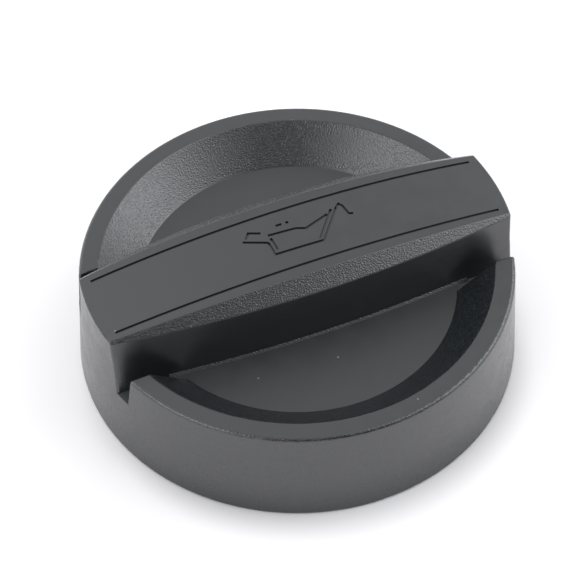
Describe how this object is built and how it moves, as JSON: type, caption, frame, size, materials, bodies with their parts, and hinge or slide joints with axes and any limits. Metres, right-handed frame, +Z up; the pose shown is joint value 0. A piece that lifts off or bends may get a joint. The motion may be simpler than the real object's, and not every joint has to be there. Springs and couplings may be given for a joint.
{
  "type": "oil filler cap",
  "caption": "Round dark grey moulded filler cap with a crowned grip bar between two finger recesses, a drafted skirt, a bayonet neck and a rubber sealing ring below.",
  "frame": {"origin": "centre of the skirt's foot, on the surface that the cap stands on", "axes": "+Z up along the turning axis, +X along the grip bar, +Y across it to the rear of the picture"},
  "size_m": [0.0722, 0.0722, 0.0257],
  "materials": {
    "body_plastic": "satin moulded glass-filled nylon, spark-eroded grain on the recess slopes and bar chamfers",
    "seal_rubber": "matt moulded rubber"
  },
  "bodies": {
    "root": {"cap_body": "body_plastic", "sealing_ring": "seal_rubber"}
  },
  "joints": []
}
